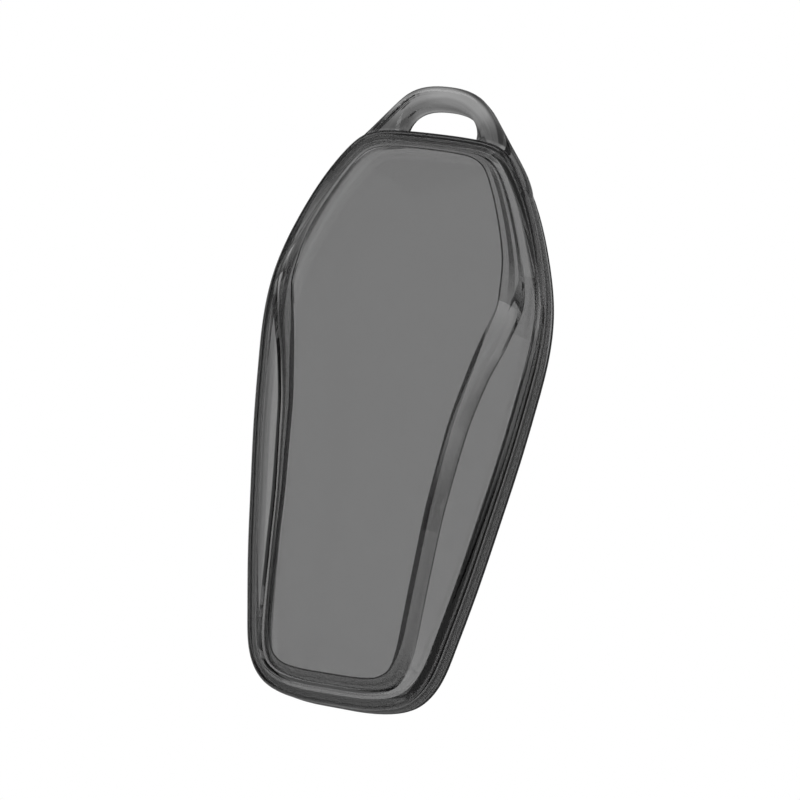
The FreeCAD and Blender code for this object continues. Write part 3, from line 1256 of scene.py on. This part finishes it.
@dataclass(frozen=True)
class SoftBox:
    """A glowing board that only reflections show, in metres.

    It fades to its lower and its right-hand edge over fade of its height and side_fade of its width.
    """

    name: str
    centre: tuple[float, float, float]
    aim: tuple[float, float, float]
    width: float
    height: float
    glow: float
    fade: float = 0.01
    side_fade: float = 0.01

    def place(self) -> None:
        """Adds the board, turned to its aim."""
        bpy.ops.object.select_all(action="DESELECT")
        bpy.ops.mesh.primitive_plane_add(size=1.0)
        board = bpy.context.object
        board.name = self.name
        bpy.ops.object.mode_set(mode="EDIT")
        bpy.ops.mesh.select_all(action="SELECT")
        bpy.ops.transform.resize(value=(self.width, self.height, 1.0))
        bpy.ops.object.mode_set(mode="OBJECT")
        facing = Vector(self.aim) - Vector(self.centre)
        board.rotation_euler = facing.to_track_quat("Z", "Y").to_euler()
        board.location = self.centre
        made, nodes = new_material(self.name)
        place = nodes.put("ShaderNodeTexCoord", {}).outputs["Object"]
        along = nodes.put("ShaderNodeSeparateXYZ", {"Vector": place})
        low = -self.height / 2.0
        side = self.width / 2.0
        rise = nodes.ramp(along.outputs["Y"], low, low + self.fade * self.height)
        fall = nodes.ramp(along.outputs["X"], side, side - self.side_fade * self.width)
        nodes.glow(nodes.times(rise, fall, self.glow))
        board.data.materials.append(made)
        board.visible_camera = False
        board.visible_transmission = False
        board.visible_diffuse = False
        board.visible_shadow = False


LOOP_BOX = SoftBox(
    "loop_box", centre=(-0.17, 0.44, 0.26), aim=(0.0, 0.04, 0.007), width=0.50, height=0.28, glow=2.0,
    fade=0.5,
)
BEAD_BOX = SoftBox(
    "bead_box", centre=(0.234, 0.045, 0.25), aim=(0.02, 0.045, 0.012), width=0.166, height=0.32, glow=2.2,
    fade=0.3, side_fade=0.35,
)
CEILING = SoftBox("ceiling", centre=(0.6, 0.0, 0.6), aim=(0.6, 0.0, 0.0), width=2.8, height=2.8, glow=0.45)
RIGHT_CARD = SoftBox(
    "right_card", centre=(0.45, 0.3, 0.06), aim=(0.02, 0.3, 0.06), width=1.40, height=0.62, glow=0.45,
)
LEFT_CARD = SoftBox(
    "left_card", centre=(-0.17, 0.0, -0.0002), aim=(-0.17, 0.0, 1.0), width=0.298, height=0.5, glow=0.4,
)
LOW_CARD = SoftBox(
    "low_card", centre=(0.02, -0.147, -0.0001), aim=(0.02, -0.147, 1.0), width=0.10, height=0.2, glow=0.4,
)


@dataclass
class Studio:
    """White light table, dim room and soft boxes."""

    table_size: float = 6.0
    table_gap: float = 0.0003
    table_light: float = 1.0
    room_light: float = 0.12
    boxes: tuple[SoftBox, ...] = (LOOP_BOX, BEAD_BOX, CEILING, RIGHT_CARD, LEFT_CARD, LOW_CARD)

    def table(self) -> None:
        """Makes the table that the cover lies on."""
        bpy.ops.object.select_all(action="DESELECT")
        bpy.ops.mesh.primitive_plane_add(size=self.table_size, location=(0.0, 0.0, -self.table_gap))
        top = bpy.context.object
        top.name = "light_table"
        made, nodes = new_material("white_table")
        nodes.glow(self.table_light)
        top.data.materials.append(made)
        top.visible_glossy = False

    def room(self) -> None:
        """Sets the room: dim where it is mirrored, white where it is seen, also through the plastic."""
        world = bpy.data.worlds.new("dim_room")
        bpy.context.scene.world = world
        world.use_nodes = True
        world.node_tree.nodes.clear()
        nodes = Board(world.node_tree)
        path = nodes.put("ShaderNodeLightPath", {})
        seen = nodes.sum("MAXIMUM", path.outputs["Is Camera Ray"], path.outputs["Is Transmission Ray"])
        strength = nodes.put("ShaderNodeMapRange", {
            "Value": seen,
            "To Min": self.room_light,
            "To Max": self.table_light,
        }).outputs["Result"]
        back = nodes.put("ShaderNodeBackground", {"Strength": strength})
        nodes.put("ShaderNodeOutputWorld", {"Surface": back.outputs["Background"]})
        bpy.context.scene.view_settings.view_transform = "Standard"

    def build(self) -> None:
        """Sets up the table, the room and the boxes."""
        self.table()
        self.room()
        for box in self.boxes:
            box.place()


@dataclass(frozen=True)
class PhotoCamera:
    """The photograph's view: a long lens over the face, turned a little to the right and from below."""

    right: tuple[float, float, float] = (0.9493, 0.1787, -0.2585)
    up: tuple[float, float, float] = (-0.1349, 0.9747, 0.1784)
    back: tuple[float, float, float] = (0.2838, -0.1345, 0.9494)
    aim: tuple[float, float, float] = (0.0, -0.00465, 0.0)
    distance: float = 0.5
    lens: float = 153.0
    shift_x: float = 0.0027
    shift_y: float = 0.0393

    def place(self) -> None:
        """Adds the camera and makes it the scene's own."""
        bpy.ops.object.camera_add()
        camera = bpy.context.object
        camera.name = "photo_camera"
        camera.data.lens = self.lens
        camera.data.shift_x = self.shift_x
        camera.data.shift_y = self.shift_y
        turn = Matrix((self.right, self.up, self.back)).transposed().to_4x4()
        turn.translation = Vector(self.aim) + Vector(self.back) * self.distance
        camera.matrix_world = turn
        bpy.context.scene.camera = camera


def main() -> None:
    """Builds the pieces, the studio and the camera."""
    logging.basicConfig(level=logging.INFO, format="%(name)s: %(message)s")
    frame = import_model()
    PhotoCamera().place()
    effects = Effects()
    front = FrontShell()
    rear = RearShell()
    stations = Outline(front.low_y).stations()
    front_piece = front.build(stations)
    front.dress(front_piece, effects)
    rear_piece = rear.build(frame["nodes"][rear.node], stations)
    rear.dress(rear_piece, effects)
    for piece in (front_piece, rear_piece):
        log.info("%s: %d faces", piece.name, len(piece.data.polygons))
    Studio().build()


if __name__ == "__main__":
    main()
